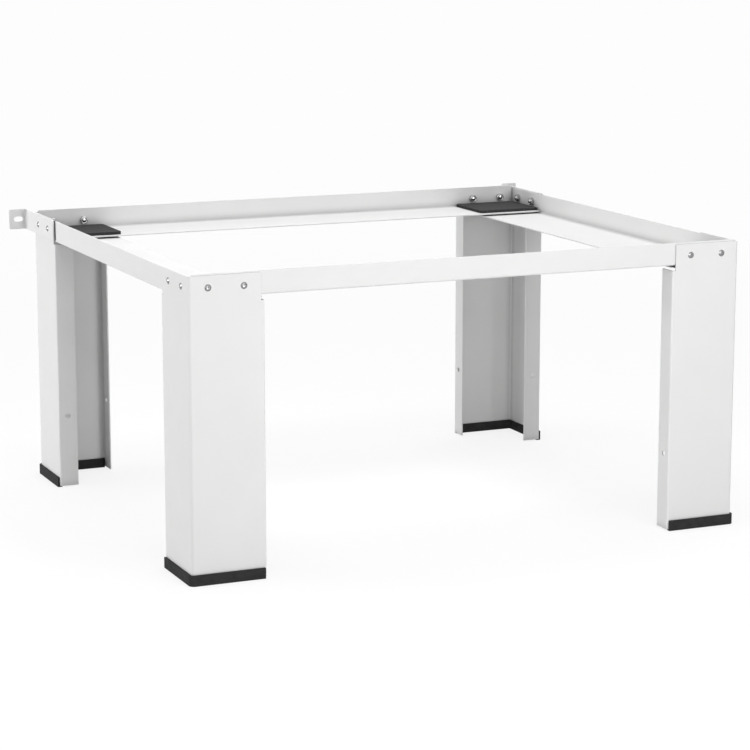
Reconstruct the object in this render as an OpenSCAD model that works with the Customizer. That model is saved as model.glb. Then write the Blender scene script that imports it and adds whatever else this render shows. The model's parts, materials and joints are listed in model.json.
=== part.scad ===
// Washing machine stand: bent sheet-steel legs, L-section rails bolted between them as a tray,
// edge trims under the legs, pads on the corner ledges and slotted brackets to the wall behind.
// X runs to the right, Y to the rear and Z up. The origin is on the floor, under the middle of
// the whole object, wall brackets included.

/* [Stand] */
// Width over the leg panels
stand_w = 630; // [500:5:720]
// Depth over the leg panels, without the wall brackets
stand_d = 540; // [420:5:680]
// Height of the leg sheets
leg_h = 313.5; // [180:0.5:450]

/* [Legs] */
// Sheet thickness of the legs
leg_t = 1.5; // [1.2:0.1:3]
// Width of each of a leg's two panels
panel_w = 81; // [74:0.5:110]
// Width of the lip along each panel's free edge
lip_w = 22; // [14:0.5:30]
// Outside radius of the bend at a leg's corner
corner_r = 3.5; // [3.5:0.5:10]
// Inside radius of the bend between panel and lip
lip_bend_r = 0.5; // [0.3:0.1:3]
// How far a panel's free edge is cut back beside the rail
notch_w = 3.75; // [1:0.25:6]
// Gap between the lips' upper ends and the side rail
notch_gap = 2.5; // [1:0.25:8]
// Diameter of the accessory hole in each lip
lip_hole_d = 6; // [3:0.1:8]
// Height of the accessory holes above the leg's lower edge
lip_hole_h = 83.5; // [25:0.5:150]

/* [Rails] */
// Sheet thickness of the rails
rail_t = 1.2; // [1:0.1:3]
// Outside height of a rail's upright wall
wall_h = 24.5; // [22:0.5:40]
// Width of the ledge of the front and rear rails, over the wall
ledge_w = 81; // [79:0.5:120]
// Width of the ledge of the side rails, over the wall
side_ledge_w = 78; // [50:0.5:120]
// Inside radius of the bend between wall and ledge
rail_bend_r = 1; // [0.5:0.1:1.5]
// How far the front and rear rails stand above the legs
rail_rise = 2; // [0.5:0.25:4]
// How far the side rails sit below the front and rear rails
side_drop = 3; // [3:0.25:6]
// Gap between the end of a rail and the leg's corner bend
rail_end_gap = 0.3; // [0.1:0.1:2]

/* [Bolts and nuts] */
// Diameter of the bolts
bolt_d = 5; // [4:0.1:6]
// Extra diameter of the holes that the bolts pass through
bolt_play = 0.5; // [0.2:0.1:1]
// Distance of the first bolt from a leg's outside corner
bolt_first = 21; // [16:0.5:26]
// Distance between the two bolts of one panel
bolt_pitch = 38; // [24:0.5:44]
// Diameter of a bolt's button head
head_d = 7.2; // [7:0.1:10]
// Height of a bolt's button head
head_h = 1.5; // [1.2:0.1:3]
// Width across the flats of the hexagon socket
socket_w = 3; // [2:0.1:4]
// Depth of the hexagon socket
socket_depth = 1; // [0.6:0.1:1.1]
// Width across the flats of a nut
nut_w = 8; // [7:0.1:10]
// Height of a nut
nut_h = 4; // [3:0.1:5]
// Radial gap between a bolt and its nut's bore
nut_gap = 0.05; // [0.02:0.01:0.1]
// Length of bolt that stands out of its nut
bolt_end = 1.5; // [0.5:0.1:3]
// Gap between the nuts and the pad below them
nut_lift = 1.2; // [0.2:0.1:3]

/* [Foot trims] */
// Height of a trim
trim_h = 11.5; // [8:0.5:18]
// Thickness of the trim under the leg's lower edge
trim_floor = 1.5; // [1:0.1:4]
// Thickness of the trim's outer wall
trim_outer_t = 2.4; // [1.2:0.1:4]
// Thickness of the trim's inner wall
trim_inner_t = 1.4; // [0.8:0.1:2]
// Gap between the leg's sheet and each wall of the trim
trim_gap = 0.1; // [0.05:0.05:0.3]
// How far the trim stops short of a panel's free edge
trim_short = 2; // [0.5:0.5:6]

/* [Pads] */
// Size of a pad from side to side
pad_w = 79; // [50:0.5:100]
// Size of a pad from front to rear
pad_d = 72; // [50:0.5:74]
// Thickness of a pad
pad_t = 3.5; // [1.5:0.1:5]
// Radius of a pad's corners
pad_r = 4; // [1:0.5:10]
// Gap between a pad and the side rail's wall
pad_side_gap = 1; // [0.3:0.1:3]
// Gap between a pad and the bend of the front or rear rail
pad_bend_gap = 0.1; // [0:0.05:2]

/* [Wall brackets] */
// Sheet thickness of a wall bracket
bracket_t = 1.5; // [1:0.1:3]
// Height of a wall bracket
bracket_h = 23.5; // [14:0.5:24]
// How far a wall bracket reaches behind the legs
bracket_reach = 35.5; // [15:0.5:80]
// How far the bracket's arm stops short of the side panel's free edge
arm_short = 0; // [0:0.5:8]
// Width of the flange that lies against the wall, over the arm
flange_w = 21; // [18:0.5:40]
// Inside radius of the bracket's bend
bracket_bend_r = 1.5; // [1:0.1:3]
// Radius of the bracket's plate corners
bracket_corner_r = 1.5; // [0.5:0.1:3]
// Length of the slot in the flange
slot_l = 11; // [8:0.5:12]
// Width of the slot in the flange
slot_w = 6; // [4:0.1:7]
// Distance of the slot's middle from the arm's inner face
slot_offset = 10; // [9.5:0.1:12]

/* [Hidden] */
$fn = 64;

// A cut runs past the face that it starts from by this much
cut = 1;

// Corners, as [side, end]: side is 0 on the left and 1 on the right, end is 0 at the front
front_left = [0, 0];
front_right = [1, 0];
rear_left = [0, 1];
rear_right = [1, 1];

// Heights above the floor
leg_z = trim_floor;
leg_top = leg_z + leg_h;
rail_z = leg_top + rail_rise - wall_h;
ledge_z = rail_z + rail_t;
side_rail_z = rail_z - side_drop;
lip_top = side_rail_z - notch_gap;
pad_top = ledge_z + pad_t;

// The nuts clear the pad, and the bolts follow them
nut_r = nut_w / 2 / cos(30);
bolt_z = pad_top + nut_lift + nut_r;
bolt_hole_d = bolt_d + bolt_play;
bolt_places = [bolt_first, bolt_first + bolt_pitch];

// Angles at which the bolts and nuts of a corner came to rest when they were tightened
front_turns = [10, 38];
side_turns = [52, 24];

// Outside radius of the bend between panel and lip
lip_r = leg_t + lip_bend_r;

// A rail ends short of the leg's corner bend and of the other rail's own bend
rail_end = max(corner_r, leg_t + rail_t + rail_bend_r) + rail_end_gap;
front_rail_l = stand_w - 2 * rail_end;
side_rail_l = stand_d - 2 * rail_end;

// Foot trims follow the leg's corner bend at their own distances
trim_l = panel_w - trim_short;
trim_inner_l = panel_w - lip_r;
trim_out = trim_gap + trim_outer_t;
trim_in = trim_gap + trim_inner_t;

// Pads lie in the corners of the tray
pad_x = leg_t + rail_t + pad_side_gap;
pad_y = leg_t + rail_t + rail_bend_r + pad_bend_gap;

// Wall brackets
arm_l = panel_w - arm_short;

// The origin lies under the middle of the whole object
front_y = -max(trim_out, head_h);
rear_y = stand_d + bracket_reach;
middle_y = (front_y + rear_y) / 2;

// Puts children, drawn for the front left corner with the leg's outside corner at the origin,
// at any of the four corners
module at_corner(corner) {
    x = corner[0] == 0 ? -stand_w / 2 : stand_w / 2;
    y = corner[1] == 0 ? 0 : stand_d;
    translate([x, y - middle_y, 0])
        mirror([corner[0], 0, 0])
            mirror([0, corner[1], 0])
                children();
}

// Repeats flat children on the other side of the corner's diagonal
module both_panels() {
    children();
    mirror([1, -1, 0]) children();
}

// Rectangle from the origin with that one corner rounded
module rounded_corner(w, h, r) {
    translate([r, r]) circle(r = r);
    translate([r, 0]) square([w - r, h]);
    translate([0, r]) square([w, h - r]);
}

// Bent sheet seen along its bend: a leg along x, a leg along y and the outside corner at the origin
module angle_section(w, h, sheet, inside_r) {
    difference() {
        rounded_corner(w, h, inside_r + sheet);
        translate([sheet, sheet]) rounded_corner(w, h, inside_r);
    }
}

// Strip that follows both panels of a leg, from outside the sheet by out to inside it by in
module corner_strip(out, in, length) {
    translate([-out, -out])
        angle_section(length + out, length + out, leg_t + out + in, max(corner_r - leg_t - in, 0.2));
}

// Rectangle with round corners, centred
module rounded_plate(w, h, r) {
    square([w - 2 * r, h], center = true);
    square([w, h - 2 * r], center = true);
    for (x = [-1, 1])
        for (y = [-1, 1])
            translate([x * (w / 2 - r), y * (h / 2 - r)])
                circle(r = r);
}

// Hole through the front panel, square to it, from outside the panel inwards
module front_hole(x, z, d, depth) {
    translate([x, -cut, z])
        rotate([-90, 0, 0])
            cylinder(d = d, h = depth + cut);
}

// Hole through the side panel, square to it, from outside the panel inwards
module side_hole(y, z, d, depth) {
    translate([-cut, y, z])
        rotate([0, 90, 0])
            cylinder(d = d, h = depth + cut);
}

// Square area inside a leg's outer faces by inset, rounded as the leg is bent at three corners
module leg_outline(inset) {
    translate([corner_r, corner_r]) circle(r = corner_r - inset);
    both_panels() {
        translate([panel_w - lip_r, lip_r]) circle(r = lip_r - inset);
        translate([corner_r, inset]) square([panel_w - lip_r - corner_r, panel_w - 2 * inset]);
        translate([corner_r, lip_r]) square([panel_w - inset - corner_r, panel_w - inset - lip_r]);
    }
}

// Leg with its lips, below the rails: a square tube of sheet that is open past the lips
module leg_lower_section() {
    difference() {
        leg_outline(0);
        leg_outline(leg_t);
        translate([lip_w, lip_w]) square(panel_w);
    }
}

// Leg beside the rails, where its panels have no lips
module leg_upper_section() {
    angle_section(panel_w - notch_w, panel_w - notch_w, leg_t, corner_r - leg_t);
}

// Holes through both lips, in the middle of their width
module lip_holes() {
    z = leg_z + lip_hole_h;
    translate([panel_w - 2 * leg_t, lip_w / 2, z])
        rotate([0, 90, 0])
            cylinder(d = lip_hole_d, h = 2 * leg_t + cut);
    translate([lip_w / 2, panel_w - 2 * leg_t, z])
        rotate([-90, 0, 0])
            cylinder(d = lip_hole_d, h = 2 * leg_t + cut);
}

module leg(corner) {
    color("white")
        at_corner(corner)
            difference() {
                union() {
                    translate([0, 0, leg_z])
                        linear_extrude(lip_top - leg_z)
                            leg_lower_section();
                    translate([0, 0, lip_top])
                        linear_extrude(leg_top - lip_top)
                            leg_upper_section();
                }
                for (place = bolt_places) {
                    front_hole(place, bolt_z, bolt_hole_d, leg_t + cut);
                    side_hole(place, bolt_z, bolt_hole_d, leg_t + cut);
                }
                lip_holes();
            }
}

// Rail seen along its length, with the wall's outer face on the y axis
module rail_section(ledge) {
    angle_section(ledge, wall_h, rail_t, rail_bend_r);
}

// Front or rear rail, drawn from the left end of the front rail
module cross_rail(end) {
    color("white")
        at_corner([0, end])
            difference() {
                translate([rail_end + front_rail_l, leg_t, rail_z])
                    rotate([90, 0, -90])
                        linear_extrude(front_rail_l)
                            mirror([1, 0, 0])
                                rail_section(ledge_w);
                for (place = bolt_places) {
                    front_hole(place, bolt_z, bolt_hole_d, leg_t + rail_t + cut);
                    front_hole(stand_w - place, bolt_z, bolt_hole_d, leg_t + rail_t + cut);
                }
            }
}

// Left or right rail, drawn from the front end of the left rail
module side_rail(side) {
    color("white")
        at_corner([side, 0])
            difference() {
                translate([leg_t, rail_end + side_rail_l, side_rail_z])
                    rotate([90, 0, 0])
                        linear_extrude(side_rail_l)
                            rail_section(side_ledge_w);
                for (place = bolt_places) {
                    side_hole(place, bolt_z, bolt_hole_d, leg_t + rail_t + cut);
                    side_hole(stand_d - place, bolt_z, bolt_hole_d, leg_t + rail_t + cut);
                }
            }
}

// U-section trim pushed on a leg's lower edge, up to the bends of the lips
module foot_trim(corner) {
    color([0.12, 0.12, 0.12])
        at_corner(corner)
            difference() {
                linear_extrude(trim_h)
                    corner_strip(trim_out, trim_in, trim_l);
                translate([0, 0, trim_floor])
                    linear_extrude(trim_h)
                        corner_strip(trim_gap, trim_gap, trim_l + cut);
                translate([0, 0, trim_floor])
                    linear_extrude(trim_h)
                        both_panels()
                            translate([trim_inner_l, 0])
                                square([trim_l, leg_t + trim_in + cut]);
            }
}

module pad(corner) {
    color([0.2, 0.2, 0.2])
        at_corner(corner)
            translate([pad_x + pad_w / 2, pad_y + pad_d / 2, ledge_z])
                linear_extrude(pad_t)
                    rounded_plate(pad_w, pad_d, pad_r);
}

// Angle along a rear leg's outside, with its flange turned outwards behind the leg
module wall_bracket(side) {
    color("white")
        at_corner([side, 1])
            difference() {
                intersection() {
                    translate([0, 0, bolt_z - bracket_h / 2])
                        linear_extrude(bracket_h)
                            bracket_section();
                    arm_outline();
                    flange_outline();
                }
                for (place = bolt_places)
                    translate([-bracket_t, 0, 0])
                        side_hole(place, bolt_z, bolt_hole_d, bracket_t + cut);
                flange_slot();
            }
}

// The bracket seen from above
module bracket_section() {
    translate([0, -bracket_reach])
        mirror([1, 0, 0])
            angle_section(flange_w, arm_l + bracket_reach, bracket_t, bracket_bend_r);
}

// Rounds the two corners at the arm's free end
module arm_outline() {
    length = arm_l + bracket_reach + 2 * bracket_corner_r;
    translate([-flange_w - cut, arm_l - length / 2, bolt_z])
        rotate([90, 0, 90])
            linear_extrude(flange_w + 2 * cut)
                rounded_plate(length, bracket_h, bracket_corner_r);
}

// Rounds the two corners at the flange's free end
module flange_outline() {
    width = flange_w + 2 * bracket_corner_r;
    translate([width / 2 - flange_w, arm_l + cut, bolt_z])
        rotate([90, 0, 0])
            linear_extrude(arm_l + bracket_reach + 2 * cut)
                rounded_plate(width, bracket_h, bracket_corner_r);
}

module flange_slot() {
    run = slot_l - slot_w;
    translate([-slot_offset, bracket_t + cut - bracket_reach, bolt_z])
        rotate([90, 0, 0])
            linear_extrude(bracket_t + 2 * cut) {
                square([run, slot_w], center = true);
                translate([-run / 2, 0]) circle(d = slot_w);
                translate([run / 2, 0]) circle(d = slot_w);
            }
}

// Button-head bolt along z, with the underside of its head at zero
module bolt(grip) {
    dome_r = (head_d * head_d / 4 + head_h * head_h) / 2 / head_h;
    cylinder(d = bolt_d, h = grip + nut_h + bolt_end);
    difference() {
        intersection() {
            translate([0, 0, -head_h])
                cylinder(d = head_d, h = head_h);
            translate([0, 0, dome_r - head_h])
                sphere(r = dome_r);
        }
        translate([0, 0, -head_h - cut])
            cylinder(d = socket_w / cos(30), h = socket_depth + cut, $fn = 6);
    }
}

// Hexagon nut along z, from zero up, with chamfered corners on its free side
module nut() {
    chamfer = nut_r - nut_w / 2;
    difference() {
        intersection() {
            cylinder(r = nut_r, h = nut_h, $fn = 6);
            rotate_extrude()
                polygon([[0, 0], [nut_r, 0], [nut_r, nut_h - chamfer], [nut_w / 2, nut_h], [0, nut_h]]);
        }
        translate([0, 0, -cut])
            cylinder(r = bolt_d / 2 + nut_gap, h = nut_h + 2 * cut);
    }
}

// Puts children, drawn along z from the front panel's outer face, at its two bolt places
module at_front_bolts() {
    for (i = [0, 1])
        translate([bolt_places[i], 0, bolt_z])
            rotate([-90, 0, 0])
                rotate(front_turns[i])
                    children();
}

// Puts children, drawn along z from the side panel's outer face, at its two bolt places
module at_side_bolts() {
    for (i = [0, 1])
        translate([0, bolt_places[i], bolt_z])
            rotate([0, 90, 0])
                rotate(side_turns[i])
                    children();
}

// A rear corner's side bolts pass through the wall bracket too
module bolts(corner) {
    grip = leg_t + rail_t;
    bracket = corner[1] == 1 ? bracket_t : 0;
    color("silver")
        at_corner(corner) {
            at_front_bolts() bolt(grip);
            at_side_bolts() translate([0, 0, -bracket]) bolt(grip + bracket);
        }
}

module nuts(corner) {
    grip = leg_t + rail_t;
    color("silver")
        at_corner(corner) {
            at_front_bolts() translate([0, 0, grip]) nut();
            at_side_bolts() translate([0, 0, grip]) nut();
        }
}

leg(front_left);  // leg_front_left
leg(front_right);  // leg_front_right
leg(rear_left);  // leg_rear_left
leg(rear_right);  // leg_rear_right
cross_rail(0);  // rail_front
cross_rail(1);  // rail_rear
side_rail(0);  // rail_left
side_rail(1);  // rail_right
foot_trim(front_left);  // foot_trim_front_left
foot_trim(front_right);  // foot_trim_front_right
foot_trim(rear_left);  // foot_trim_rear_left
foot_trim(rear_right);  // foot_trim_rear_right
pad(front_left);  // pad_front_left
pad(front_right);  // pad_front_right
pad(rear_left);  // pad_rear_left
pad(rear_right);  // pad_rear_right
wall_bracket(0);  // wall_bracket_left
wall_bracket(1);  // wall_bracket_right
bolts(front_left);  // bolts_front_left
bolts(front_right);  // bolts_front_right
bolts(rear_left);  // bolts_rear_left
bolts(rear_right);  // bolts_rear_right
nuts(front_left);  // nuts_front_left
nuts(front_right);  // nuts_front_right
nuts(rear_left);  // nuts_rear_left
nuts(rear_right);  // nuts_rear_right
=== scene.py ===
import json
import math

import bmesh
import bpy
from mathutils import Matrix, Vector

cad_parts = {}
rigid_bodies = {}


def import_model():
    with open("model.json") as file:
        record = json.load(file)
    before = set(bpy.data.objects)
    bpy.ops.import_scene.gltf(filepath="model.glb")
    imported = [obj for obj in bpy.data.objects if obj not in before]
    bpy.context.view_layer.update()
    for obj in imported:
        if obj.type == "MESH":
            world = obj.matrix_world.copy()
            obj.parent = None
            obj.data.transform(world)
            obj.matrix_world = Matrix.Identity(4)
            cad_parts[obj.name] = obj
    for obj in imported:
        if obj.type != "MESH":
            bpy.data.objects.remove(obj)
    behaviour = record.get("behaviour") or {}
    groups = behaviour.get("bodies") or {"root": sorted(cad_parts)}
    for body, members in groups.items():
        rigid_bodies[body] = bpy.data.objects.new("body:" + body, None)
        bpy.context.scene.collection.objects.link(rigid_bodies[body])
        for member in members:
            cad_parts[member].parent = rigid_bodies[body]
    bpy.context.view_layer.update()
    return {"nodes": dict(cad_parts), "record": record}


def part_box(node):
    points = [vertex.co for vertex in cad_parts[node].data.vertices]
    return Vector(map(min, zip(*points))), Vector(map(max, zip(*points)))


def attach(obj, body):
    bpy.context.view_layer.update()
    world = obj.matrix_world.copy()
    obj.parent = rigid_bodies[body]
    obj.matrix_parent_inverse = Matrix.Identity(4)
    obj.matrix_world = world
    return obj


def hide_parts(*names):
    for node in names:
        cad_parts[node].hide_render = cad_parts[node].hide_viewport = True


# Blender's starting objects are no part of the scene
for start_object in list(bpy.data.objects):
    bpy.data.objects.remove(start_object)

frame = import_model()

# Camera, fitted to the photograph's edges
CAMERA_PLACE = (-1.1182, -2.5773, 0.6942)
CAMERA_YAW = 0.4131
CAMERA_PITCH = 0.1946
FOCAL_PIXELS = 2493.9
IMAGE_PIXELS = 750
SENSOR_MM = 36.0
CLIP_START = 0.05
CLIP_END = 60.0


def make_camera():
    data = bpy.data.cameras.new("camera")
    data.sensor_width = SENSOR_MM
    data.lens = FOCAL_PIXELS / IMAGE_PIXELS * SENSOR_MM
    data.clip_start = CLIP_START
    data.clip_end = CLIP_END
    camera = bpy.data.objects.new("camera", data)
    bpy.context.scene.collection.objects.link(camera)
    camera.location = CAMERA_PLACE
    camera.rotation_euler = (math.pi / 2 - CAMERA_PITCH, 0.0, -CAMERA_YAW)
    bpy.context.scene.camera = camera


# Noise lies mostly between these two values
NOISE_LOW = 0.3
NOISE_HIGH = 0.7
# Painted shade in seams and inside corners: how far from one the colour is darkened, in metres, and
# the share of the colour left in the seam itself
PAINTED_SHADE_REACH = 0.016
PAINTED_SHADE_DARKEST = 0.2
# Where more than this share of the surroundings is open, no shade is painted and the colour stays
# as it is
PAINTED_SHADE_OPEN = 0.8
PAINTED_SHADE_SAMPLES = 8


class Shader:
    """A material under construction: its nodes and the links that several materials share."""

    def __init__(self, material, world=False):
        material.use_nodes = True
        self.tree = material.node_tree
        self.tree.nodes.clear()
        self.output = self.add("ShaderNodeOutputWorld" if world else "ShaderNodeOutputMaterial")

    def add(self, kind, **values):
        node = self.tree.nodes.new(kind)
        for name, value in values.items():
            setattr(node, name, value)
        return node

    def link(self, source, target):
        self.tree.links.new(source, target)

    def principled(self, **values):
        """The surface shader; an underscore in a value's name stands for a space."""
        node = self.add("ShaderNodeBsdfPrincipled")
        for name, value in values.items():
            node.inputs[name.replace("_", " ")].default_value = value
        self.link(node.outputs["BSDF"], self.output.inputs["Surface"])
        return node

    def place(self, stretch=(1.0, 1.0, 1.0)):
        """Coordinates in metres on the object, stretched along its axes."""
        coordinates = self.add("ShaderNodeTexCoord")
        mapping = self.add("ShaderNodeMapping")
        mapping.inputs["Scale"].default_value = stretch
        self.link(coordinates.outputs["Object"], mapping.inputs["Vector"])
        return mapping.outputs["Vector"]

    def noise(self, where, scale, detail=3.0, roughness=0.5):
        node = self.add("ShaderNodeTexNoise")
        node.inputs["Scale"].default_value = scale
        node.inputs["Detail"].default_value = detail
        node.inputs["Roughness"].default_value = roughness
        self.link(where, node.inputs["Vector"])
        return node.outputs["Fac"]

    def spread(self, value, low, high):
        """Maps a noise value to the range from low to high."""
        node = self.add("ShaderNodeMapRange")
        node.inputs["From Min"].default_value = NOISE_LOW
        node.inputs["From Max"].default_value = NOISE_HIGH
        node.inputs["To Min"].default_value = low
        node.inputs["To Max"].default_value = high
        self.link(value, node.inputs["Value"])
        return node.outputs["Result"]

    def two_colours(self, value, dark, light):
        """Maps a noise value to a colour between dark and light."""
        ramp = self.add("ShaderNodeValToRGB")
        ramp.color_ramp.elements[0].position = NOISE_LOW
        ramp.color_ramp.elements[1].position = NOISE_HIGH
        ramp.color_ramp.elements[0].color = (*dark, 1.0)
        ramp.color_ramp.elements[1].color = (*light, 1.0)
        self.link(value, ramp.inputs["Fac"])
        return ramp.outputs["Color"]

    def painted_crease_shade(self, colour):
        """Paints shade into a colour: darkens it in seams and inside corners."""
        near = self.add("ShaderNodeAmbientOcclusion", samples=PAINTED_SHADE_SAMPLES)
        near.inputs["Distance"].default_value = PAINTED_SHADE_REACH
        share = self.add("ShaderNodeMapRange")
        share.inputs["From Max"].default_value = PAINTED_SHADE_OPEN
        share.inputs["To Min"].default_value = PAINTED_SHADE_DARKEST
        self.link(near.outputs["AO"], share.inputs["Value"])
        product = self.add("ShaderNodeVectorMath", operation="SCALE")
        self.link(colour, product.inputs[0])
        self.link(share.outputs["Result"], product.inputs["Scale"])
        return product.outputs["Vector"]

    def bump(self, height, strength, distance, under=None):
        """A bump of the given distance in metres, over another bump's normal if there is one."""
        node = self.add("ShaderNodeBump")
        node.inputs["Strength"].default_value = strength
        node.inputs["Distance"].default_value = distance
        self.link(height, node.inputs["Height"])
        if under is not None:
            self.link(under, node.inputs["Normal"])
        return node.outputs["Normal"]


def powder_coat():
    """White polyester powder on sheet steel: satin, with a fine orange peel, and shade painted into
    its seams and inside corners.
    """
    material = bpy.data.materials.new("white_powder_coat")
    s = Shader(material)
    where = s.place()
    shader = s.principled(IOR=1.5, Specular_IOR_Level=0.25)
    shade = s.noise(where, 22.0, 4.0)
    coat = s.two_colours(shade, (0.824, 0.824, 0.821), (0.840, 0.840, 0.838))
    # Painted shade: the coat's colour is darkened in seams and inside corners
    s.link(s.painted_crease_shade(coat), shader.inputs["Base Color"])
    s.link(s.spread(s.noise(where, 60.0, 3.0), 0.50, 0.60), shader.inputs["Roughness"])
    wave = s.bump(s.noise(where, 420.0, 1.5), 0.35, 0.00006)
    s.link(s.bump(s.noise(where, 1500.0, 2.0), 0.3, 0.00001, wave), shader.inputs["Normal"])
    return material


def trim_plastic():
    """Black moulded edge trim, matt, with faint drag lines along its length."""
    material = bpy.data.materials.new("black_trim_plastic")
    s = Shader(material)
    shader = s.principled(IOR=1.48, Specular_IOR_Level=0.02)
    where = s.place()
    lines = s.noise(s.place((30.0, 30.0, 1100.0)), 1.0, 2.0)
    black = s.two_colours(s.noise(where, 160.0, 4.0), (0.034, 0.034, 0.035), (0.046, 0.046, 0.047))
    s.link(black, shader.inputs["Base Color"])
    s.link(s.spread(s.noise(where, 500.0, 3.0), 0.50, 0.66), shader.inputs["Roughness"])
    drag = s.bump(lines, 0.3, 0.00008)
    s.link(s.bump(s.noise(where, 2600.0, 2.0), 0.5, 0.00003, drag), shader.inputs["Normal"])
    return material


def pad_rubber():
    """Black rubber sheet, matt, with a fine grain and a little dust-grey mottling."""
    material = bpy.data.materials.new("black_pad_rubber")
    s = Shader(material)
    shader = s.principled(IOR=1.5, Specular_IOR_Level=0.10)
    where = s.place()
    mottling = s.noise(where, 300.0, 5.0, 0.65)
    black = s.two_colours(mottling, (0.032, 0.032, 0.033), (0.052, 0.052, 0.053))
    s.link(black, shader.inputs["Base Color"])
    s.link(s.spread(s.noise(where, 700.0, 2.0), 0.74, 0.92), shader.inputs["Roughness"])
    grain = s.bump(s.noise(where, 1300.0, 3.0, 0.6), 0.7, 0.00012)
    s.link(grain, shader.inputs["Normal"])
    return material


def zinc_plate(name, dark, light, smooth, rough):
    """Zinc-plated steel, slightly uneven, with a roughness between smooth and rough."""
    material = bpy.data.materials.new(name)
    s = Shader(material)
    shader = s.principled(Metallic=1.0)
    where = s.place()
    zinc = s.two_colours(s.noise(where, 500.0, 4.0, 0.6), dark, light)
    s.link(zinc, shader.inputs["Base Color"])
    s.link(s.spread(s.noise(where, 900.0, 4.0), smooth, rough), shader.inputs["Roughness"])
    s.link(s.bump(s.noise(where, 2200.0, 3.0), 0.3, 0.00002), shader.inputs["Normal"])
    return material


MATERIALS = {
    "powder_coat": powder_coat(),
    "trim_plastic": trim_plastic(),
    "pad_rubber": pad_rubber(),
    "zinc_plate": zinc_plate(
        "bright_zinc_plate", (0.38, 0.384, 0.39), (0.50, 0.504, 0.51), 0.09, 0.16),
    # Painted dark reflection: the bolt heads get a darker copy of the same zinc plating, so that
    # they look as if they mirror darker surroundings
    "zinc_head": zinc_plate(
        "zinc_plate_with_painted_dark_reflection", (0.23, 0.232, 0.236), (0.32, 0.322, 0.326), 0.16, 0.26),
}

# CAD nodes, in metres
SAME_POINT = 1e-6
FLAT_DEGREES = 0.5
SHEET_BEVEL_DEGREES = 35
SHEET_NORMAL_WEIGHT = 90
BEVEL_SEGMENTS = 2


def cleaning_group():
    """Joins the frame's split points, so that a bevel finds its edges, and drops their normals."""
    tree = bpy.data.node_groups.new("join_points", "GeometryNodeTree")
    tree.interface.new_socket("Geometry", in_out="INPUT", socket_type="NodeSocketGeometry")
    tree.interface.new_socket("Geometry", in_out="OUTPUT", socket_type="NodeSocketGeometry")
    source = tree.nodes.new("NodeGroupInput")
    target = tree.nodes.new("NodeGroupOutput")
    merge = tree.nodes.new("GeometryNodeMergeByDistance")
    merge.inputs["Distance"].default_value = SAME_POINT
    normals = tree.nodes.new("GeometryNodeSetMeshNormal")
    normals.mode = "SHARPNESS"
    normals.inputs["Remove Custom"].default_value = True
    smooth = tree.nodes.new("GeometryNodeSetShadeSmooth")
    tree.links.new(source.outputs[0], merge.inputs["Geometry"])
    tree.links.new(merge.outputs["Geometry"], normals.inputs["Mesh"])
    tree.links.new(normals.outputs["Mesh"], smooth.inputs["Geometry"])
    tree.links.new(smooth.outputs["Geometry"], target.inputs[0])
    return tree


JOIN_POINTS = cleaning_group()


def round_edges(piece, width, degrees, normal_weight):
    """Bevels the edges that are sharper than the given angle and evens out the normals."""
    bevel = piece.modifiers.new("bevel", "BEVEL")
    bevel.width = width
    bevel.segments = BEVEL_SEGMENTS
    bevel.limit_method = "ANGLE"
    bevel.angle_limit = math.radians(degrees)
    weighted = piece.modifiers.new("normals", "WEIGHTED_NORMAL")
    weighted.weight = normal_weight
    weighted.keep_sharp = False
    return bevel


def soften_edges(piece, width):
    """Rounds a CAD node's sharp edges with modifiers, its own mesh unchanged."""
    join = piece.modifiers.new("join", "NODES")
    join.node_group = JOIN_POINTS
    flat = piece.modifiers.new("flat", "DECIMATE")
    flat.decimate_type = "DISSOLVE"
    flat.angle_limit = math.radians(FLAT_DEGREES)
    bevel = round_edges(piece, width, SHEET_BEVEL_DEGREES, SHEET_NORMAL_WEIGHT)
    bevel.loop_slide = False
    bevel.harden_normals = False
    bevel.miter_outer = "MITER_SHARP"


# Edge rounding of each kind of node
EDGE_WIDTHS = {
    "leg_": 0.0004,
    "rail_": 0.00035,
    "wall_bracket_": 0.00035,
    "foot_trim_": 0.0003,
}


def slot_of(node_name):
    """The material slot that the record gives a CAD node."""
    for subpart in frame["record"]["subparts"]:
        if subpart["node"] == node_name:
            return subpart["material_slot"]
    raise KeyError(node_name)


def dress_nodes():
    """Gives each CAD node its material, and the sheet parts and trims their rounded edges."""
    for name, piece in frame["nodes"].items():
        material = MATERIALS[slot_of(name)]
        for material_slot in piece.material_slots:
            material_slot.material = material
        for start, width in EDGE_WIDTHS.items():
            if name.startswith(start):
                soften_edges(piece, width)


# Pads, in metres
PAD_CORNER = 0.004
PAD_CORNER_LEAST = 0.001
PAD_ARC_STEPS = 14
# Rings of the pad's skin, as [distance inside the outline, height as a share of the thickness]
PAD_RINGS = [
    (0.00035, 0.0), (0.00008, 0.03), (0.0, 0.10), (0.00004, 0.5), (0.0, 0.86), (0.00010, 0.93),
    (0.00035, 0.985), (0.0008, 1.0), (0.0025, 0.997), (0.008, 0.985), (0.018, 0.982),
]


def rounded_outline(half_x, half_y, radius):
    """Points round a rectangle with round corners, counterclockwise."""
    points = []
    for corner in range(4):
        middle_x = (half_x - radius) * (1 if corner in (0, 3) else -1)
        middle_y = (half_y - radius) * (1 if corner in (0, 1) else -1)
        for step in range(PAD_ARC_STEPS + 1):
            angle = (corner + step / PAD_ARC_STEPS) * math.pi / 2
            points.append((middle_x + radius * math.cos(angle),
                           middle_y + radius * math.sin(angle)))
    return points


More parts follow.
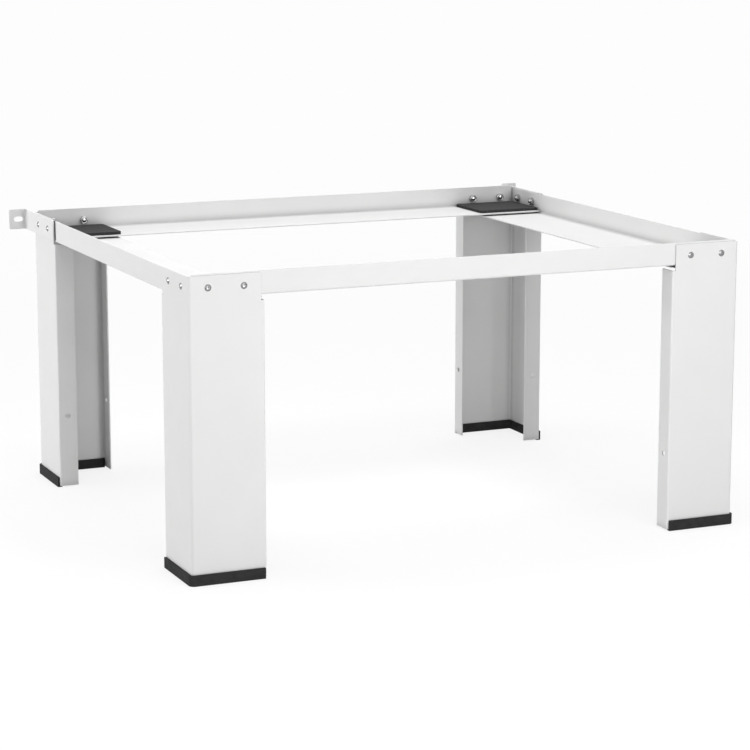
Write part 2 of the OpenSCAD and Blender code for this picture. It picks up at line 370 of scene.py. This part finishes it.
def make_pad(node_name):
    """A rubber pad with rolled edges and a slightly sunk face, in place of its CAD node."""
    low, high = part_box(node_name)
    middle = (low + high) / 2
    half_x = (high.x - low.x) / 2
    half_y = (high.y - low.y) / 2
    thickness = high.z - low.z
    mesh = bpy.data.meshes.new("rubber_" + node_name)
    shape = bmesh.new()
    rings = []
    for inset, share in PAD_RINGS:
        radius = max(PAD_CORNER - inset, PAD_CORNER_LEAST)
        outline = rounded_outline(half_x - inset, half_y - inset, radius)
        rings.append([shape.verts.new((middle.x + x, middle.y + y, low.z + share * thickness))
                      for x, y in outline])
    count = len(rings[0])
    for lower, upper in zip(rings, rings[1:]):
        for i in range(count):
            j = (i + 1) % count
            shape.faces.new((lower[i], lower[j], upper[j], upper[i]))
    shape.faces.new(list(reversed(rings[0])))
    shape.faces.new(rings[-1])
    for face in shape.faces:
        face.smooth = True
    shape.to_mesh(mesh)
    shape.free()
    pad = bpy.data.objects.new("rubber_" + node_name, mesh)
    bpy.context.scene.collection.objects.link(pad)
    mesh.materials.append(MATERIALS["pad_rubber"])
    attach(pad, "root")
    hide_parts(node_name)


# Bolts and nuts, in metres
STAND_HALF_W = 0.315
STAND_FRONT = -0.2865
STAND_REAR = 0.2535
BOLT_HEIGHT = 0.303019
# Distances of a corner's two bolts from the outer corner, and how far each is turned, in degrees
BOLT_PLACES = (0.021, 0.059)
FACE_TURNS = (10.0, 38.0)
SIDE_TURNS = (52.0, 24.0)
LEG_SHEET = 0.0015
RAIL_SHEET = 0.0012
BRACKET_SHEET = 0.0015
BOLT_R = 0.0025
# The plain shank and the nut's bore, a little under and over the thread
SHANK_R = BOLT_R * 0.98
BORE_R = BOLT_R * 1.02
BOLT_END = 0.0015
THREAD_PITCH = 0.0008
THREAD_DEPTH = 0.00042
THREAD_CREST = 1.25
THREAD_SIDES = 48
STEPS_PER_PITCH = 8
# How far inside the nut the thread starts; the bolt up to there is a plain shank
THREAD_HIDDEN = 0.0012
END_CHAMFER = 0.0006
END_DOME = 0.0004
END_RINGS = (0.9, 0.75, 0.5, 0.25)
HEAD_R = 0.0036
HEAD_H = 0.0015
HEAD_RIM = 0.00014
HEAD_SIDES = 60
HEAD_RINGS = (0.985, 0.95, 0.88, 0.8, 0.7, 0.6)
SOCKET_HALF = 0.0015
SOCKET_DEPTH = 0.001
SOCKET_CONE = 0.00021
SOCKET_CONE_RINGS = (0.96, 0.4)
SOCKET_EDGE = 0.00012
NUT_HALF = 0.004
NUT_H = 0.004
NUT_SIDES = 96
NUT_FACE_R = NUT_HALF * 0.97
NUT_SLOPE = math.tan(math.radians(30))
NUT_BORE_EDGE = 0.0005
FASTENER_BEVEL = 0.00008
FASTENER_BEVEL_DEGREES = 50
FASTENER_NORMAL_WEIGHT = 60


def hexagon_radius(half, angle):
    """Distance from the middle to a hexagon's outline; half is the distance to its flats."""
    return half / math.cos((angle + math.pi / 6) % (math.pi / 3) - math.pi / 6)


def ring_of(sides, radius, height):
    """A ring of [angle, radius, height]; radius and height are numbers or depend on the angle."""
    ring = []
    for i in range(sides):
        a = i * 2 * math.pi / sides
        r = radius(a) if callable(radius) else radius
        z = height(a) if callable(height) else height
        ring.append((a, r, z))
    return ring


def stack_rings(shape, rings, material_index=0):
    """Joins rings of [angle, radius, height] with faces. Returns the points of each ring."""
    made = []
    for ring in rings:
        made.append([shape.verts.new((r * math.cos(a), r * math.sin(a), z)) for a, r, z in ring])
    count = len(made[0])
    for lower, upper in zip(made, made[1:]):
        for i in range(count):
            j = (i + 1) % count
            face = shape.faces.new((lower[i], lower[j], upper[j], upper[i]))
            face.material_index = material_index
    return made


def draw_head(shape):
    """Low button head with a hexagon socket; its underside is at zero, its top at minus HEAD_H."""
    dome_r = (HEAD_R ** 2 + HEAD_H ** 2) / 2 / HEAD_H
    socket_floor = -HEAD_H + SOCKET_DEPTH

    def dome(r):
        return -(math.sqrt(dome_r ** 2 - r ** 2) - (dome_r - HEAD_H))

    def socket(a):
        return hexagon_radius(SOCKET_HALF, a)

    def edge(a):
        return hexagon_radius(SOCKET_HALF + SOCKET_EDGE, a)

    profile = [(SHANK_R, 0.0), (HEAD_R - HEAD_RIM / 2, 0.0), (HEAD_R, -HEAD_RIM / 2)]
    for share in HEAD_RINGS:
        profile.append((HEAD_R * share, min(dome(HEAD_R * share), -HEAD_RIM)))
    wide, narrow = SOCKET_CONE_RINGS
    profile += [
        (edge, lambda a: dome(edge(a))),
        (socket, lambda a: dome(edge(a)) + SOCKET_EDGE),
        (socket, socket_floor),
        (SOCKET_HALF * wide, socket_floor),
        (SOCKET_HALF * narrow, socket_floor + SOCKET_CONE),
    ]
    made = stack_rings(shape, [ring_of(HEAD_SIDES, r, z) for r, z in profile], 1)
    floor = shape.faces.new(list(reversed(made[-1])))
    floor.material_index = 1
    floor.normal_flip()


def thread_radius(angle, height, tip):
    """Radius of the threaded end, which runs out into its chamfer towards the tip."""
    turn = (height / THREAD_PITCH - angle / (2 * math.pi)) % 1.0
    tooth = 1 - abs(2 * turn - 1)
    radius = BOLT_R - THREAD_DEPTH * (1 - min(1.0, tooth * THREAD_CREST))
    chamfer = BOLT_R - max(0.0, height - (tip - END_CHAMFER - END_DOME))
    return min(radius, chamfer)


def draw_shank(shape, grip):
    """Shank from zero up, through sheets that are grip thick together and through its nut."""
    tip = grip + NUT_H + BOLT_END
    start = tip - BOLT_END - THREAD_HIDDEN
    length = tip - END_DOME - start
    rings = [ring_of(THREAD_SIDES, SHANK_R, 0.0), ring_of(THREAD_SIDES, SHANK_R, start)]
    steps = math.ceil(length / THREAD_PITCH * STEPS_PER_PITCH)
    for i in range(steps + 1):
        z = start + length * i / steps
        rings.append(ring_of(THREAD_SIDES, lambda a: thread_radius(a, z, tip), z))
    for share in END_RINGS:
        end_r = (BOLT_R - END_CHAMFER) * share
        rings.append(ring_of(THREAD_SIDES, end_r, tip - END_DOME * share ** 2))
    made = stack_rings(shape, rings)
    shape.faces.new(made[-1])
    shape.faces.new(list(reversed(made[0])))


def draw_nut(shape):
    """Hexagon nut from its seat at zero up, chamfered on its free side."""

    def outline(a):
        return hexagon_radius(NUT_HALF, a)

    def top(a):
        return NUT_H - (outline(a) - NUT_FACE_R) * NUT_SLOPE

    profile = [
        (BORE_R, 0.0), (outline, 0.0), (outline, top), (NUT_FACE_R, NUT_H),
        (BOLT_R + NUT_BORE_EDGE, NUT_H), (BORE_R, NUT_H - NUT_BORE_EDGE),
    ]
    made = stack_rings(shape, [ring_of(NUT_SIDES, r, z) for r, z in profile])
    for i in range(NUT_SIDES):
        j = (i + 1) % NUT_SIDES
        shape.faces.new((made[-1][i], made[-1][j], made[0][j], made[0][i]))


def fastener_places(corner):
    """A corner's four fasteners, as [point on the outer face, direction inwards, turn, on side]."""
    side = -1 if "left" in corner else 1
    face_y = STAND_FRONT if "front" in corner else STAND_REAR
    inwards_y = 1 if "front" in corner else -1
    mirrored = -1 if side * inwards_y > 0 else 1
    places = []
    for place, face_turn, side_turn in zip(BOLT_PLACES, FACE_TURNS, SIDE_TURNS):
        places.append((Vector((side * (STAND_HALF_W - place), face_y, BOLT_HEIGHT)),
                       Vector((0, inwards_y, 0)), mirrored * face_turn, False))
        places.append((Vector((side * STAND_HALF_W, face_y + inwards_y * place, BOLT_HEIGHT)),
                       Vector((-side, 0, 0)), 90 + mirrored * side_turn, True))
    return places


def put(shape, start, point, inwards, turn):
    """Moves all points but the first start ones to point, with their z along inwards."""
    down = Vector((0, 0, -1))
    across = down.cross(inwards)
    c = math.cos(math.radians(turn))
    s = math.sin(math.radians(turn))
    shape.verts.ensure_lookup_table()
    for vert in shape.verts[start:]:
        x, y, z = vert.co
        vert.co = point + across * (c * x - s * y) + down * (s * x + c * y) + inwards * z


def finish_fasteners(shape, name, node_name, materials):
    """Makes a piece of the drawn shape, which stands for a CAD node."""
    bmesh.ops.recalc_face_normals(shape, faces=shape.faces)
    for face in shape.faces:
        face.smooth = True
    mesh = bpy.data.meshes.new(name)
    shape.to_mesh(mesh)
    shape.free()
    piece = bpy.data.objects.new(name, mesh)
    bpy.context.scene.collection.objects.link(piece)
    for material in materials:
        mesh.materials.append(MATERIALS[material])
    round_edges(piece, FASTENER_BEVEL, FASTENER_BEVEL_DEGREES, FASTENER_NORMAL_WEIGHT)
    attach(piece, "root")
    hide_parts(node_name)


def make_fasteners(corner):
    """The bolts and nuts of a corner; the rear side bolts go through a wall bracket too."""
    grip = LEG_SHEET + RAIL_SHEET
    bolts = bmesh.new()
    nuts = bmesh.new()
    for point, inwards, turn, on_side in fastener_places(corner):
        bracket = BRACKET_SHEET if on_side and "rear" in corner else 0.0
        start = len(bolts.verts)
        draw_head(bolts)
        draw_shank(bolts, grip + bracket)
        put(bolts, start, point - inwards * bracket, inwards, turn)
        start = len(nuts.verts)
        draw_nut(nuts)
        put(nuts, start, point + inwards * grip, inwards, turn)
    finish_fasteners(bolts, "machine_bolts_" + corner, "bolts_" + corner,
                     ["zinc_plate", "zinc_head"])
    finish_fasteners(nuts, "hexagon_nuts_" + corner, "nuts_" + corner, ["zinc_plate"])


# Stage, in metres
FLOOR_HALF = 12.0
# The grey that the floor throws back onto the object
FLOOR_BOUNCE = 0.5
# What the floor shows near the object: a glow, and a share that the lamps light and shade
FLOOR_GLOW = 0.80
FLOOR_SHADE = 0.20
# The backdrop's white, which the floor fades into between these distances from the object
BACKDROP_WHITE = 0.982
FADE_START = 0.7
FADE_END = 2.2


def grey(value):
    """An opaque neutral colour."""
    return (value, value, value, 1.0)


def pale_share(s):
    """1 for rays from the camera or a reflection or glass, 0 for light that falls on the object."""
    path = s.add("ShaderNodeLightPath")
    first = s.add("ShaderNodeMath", operation="MAXIMUM")
    second = s.add("ShaderNodeMath", operation="MAXIMUM")
    s.link(path.outputs["Is Camera Ray"], first.inputs[0])
    s.link(path.outputs["Is Glossy Ray"], first.inputs[1])
    s.link(first.outputs[0], second.inputs[0])
    s.link(path.outputs["Is Transmission Ray"], second.inputs[1])
    return second.outputs[0]


def make_floor():
    """A plane that shows itself nearly white with the object's shadow, and fades to white."""
    mesh = bpy.data.meshes.new("floor")
    h = FLOOR_HALF
    mesh.from_pydata([(-h, -h, 0), (h, -h, 0), (h, h, 0), (-h, h, 0)], [], [(0, 1, 2, 3)])
    floor = bpy.data.objects.new("floor", mesh)
    bpy.context.scene.collection.objects.link(floor)
    material = bpy.data.materials.new("pale_floor")
    mesh.materials.append(material)
    s = Shader(material)
    ground = s.add("ShaderNodeBsdfDiffuse")
    ground.inputs["Color"].default_value = grey(FLOOR_BOUNCE)
    glow = s.add("ShaderNodeEmission")
    glow.inputs["Strength"].default_value = FLOOR_GLOW
    shade = s.add("ShaderNodeBsdfDiffuse")
    shade.inputs["Color"].default_value = grey(FLOOR_SHADE)
    near = s.add("ShaderNodeAddShader")
    s.link(glow.outputs[0], near.inputs[0])
    s.link(shade.outputs[0], near.inputs[1])
    far = s.add("ShaderNodeEmission")
    far.inputs["Strength"].default_value = BACKDROP_WHITE
    distance = s.add("ShaderNodeVectorMath", operation="LENGTH")
    s.link(s.place(), distance.inputs[0])
    fade = s.add("ShaderNodeMapRange", interpolation_type="SMOOTHSTEP")
    fade.inputs["From Min"].default_value = FADE_START
    fade.inputs["From Max"].default_value = FADE_END
    s.link(distance.outputs["Value"], fade.inputs["Value"])
    seen = s.add("ShaderNodeMixShader")
    s.link(fade.outputs["Result"], seen.inputs[0])
    s.link(near.outputs[0], seen.inputs[1])
    s.link(far.outputs[0], seen.inputs[2])
    both = s.add("ShaderNodeMixShader")
    s.link(pale_share(s), both.inputs[0])
    s.link(ground.outputs[0], both.inputs[1])
    s.link(seen.outputs[0], both.inputs[2])
    s.link(both.outputs[0], s.output.inputs["Surface"])


def make_world():
    """White where it is seen, without light of its own on the object."""
    world = bpy.data.worlds.new("studio")
    bpy.context.scene.world = world
    s = Shader(world, world=True)
    background = s.add("ShaderNodeBackground")
    background.inputs["Color"].default_value = grey(1.0)
    strength = s.add("ShaderNodeMapRange")
    strength.inputs["To Max"].default_value = BACKDROP_WHITE
    s.link(pale_share(s), strength.inputs["Value"])
    s.link(strength.outputs["Result"], background.inputs["Strength"])
    s.link(background.outputs[0], s.output.inputs["Surface"])


def area_light(name, place, target, width, height, watts):
    data = bpy.data.lights.new(name, "AREA")
    data.shape = "RECTANGLE"
    data.size = width
    data.size_y = height
    data.energy = watts
    lamp = bpy.data.objects.new(name, data)
    bpy.context.scene.collection.objects.link(lamp)
    lamp.location = place
    lamp.rotation_euler = (Vector(target) - Vector(place)).to_track_quat("-Z", "Y").to_euler()
    lamp.visible_camera = False


# Each lamp's place, the point it shines at, its width and height in metres, and its watts
LIGHTS = {
    "front": ((0.1, -1.45, 0.75), (0.0, 0.0, 0.15), 1.6, 0.9, 5.6),
    "front_of_left_leg": ((-0.3, -1.5, 0.4), (-0.275, 0.0, 0.2), 0.3, 0.6, 3.8),
    "front_of_right_leg": ((0.32, -1.5, 0.4), (0.275, 0.0, 0.2), 0.3, 0.6, 4.0),
    "front_left": ((-1.3, -1.8, 0.8), (0.0, 0.0, 0.15), 0.8, 0.8, 1.7),
    "left": ((-1.8, 0.1, 0.8), (0.0, 0.0, 0.15), 1.4, 0.9, 6.0),
    "left_low": ((-2.6, 1.0, 0.3), (0.0, 0.0, 0.15), 1.6, 0.5, 29.5),
    "top": ((0.0, 0.0, 2.8), (0.0, 0.0, 0.0), 2.6, 2.6, 64.0),
    "right": ((3.0, 1.6, 1.3), (0.0, 0.0, 0.15), 2.4, 1.8, 24.0),
    "back": ((0.4, 3.4, 1.6), (0.0, 0.0, 0.15), 2.4, 1.8, 24.0),
}


make_camera()
dress_nodes()
for corner_name in ("front_left", "front_right", "rear_left", "rear_right"):
    make_pad("pad_" + corner_name)
    make_fasteners(corner_name)
make_floor()
make_world()
for light_name, light_values in LIGHTS.items():
    area_light(light_name, *light_values)

bpy.context.scene.view_settings.view_transform = "Standard"
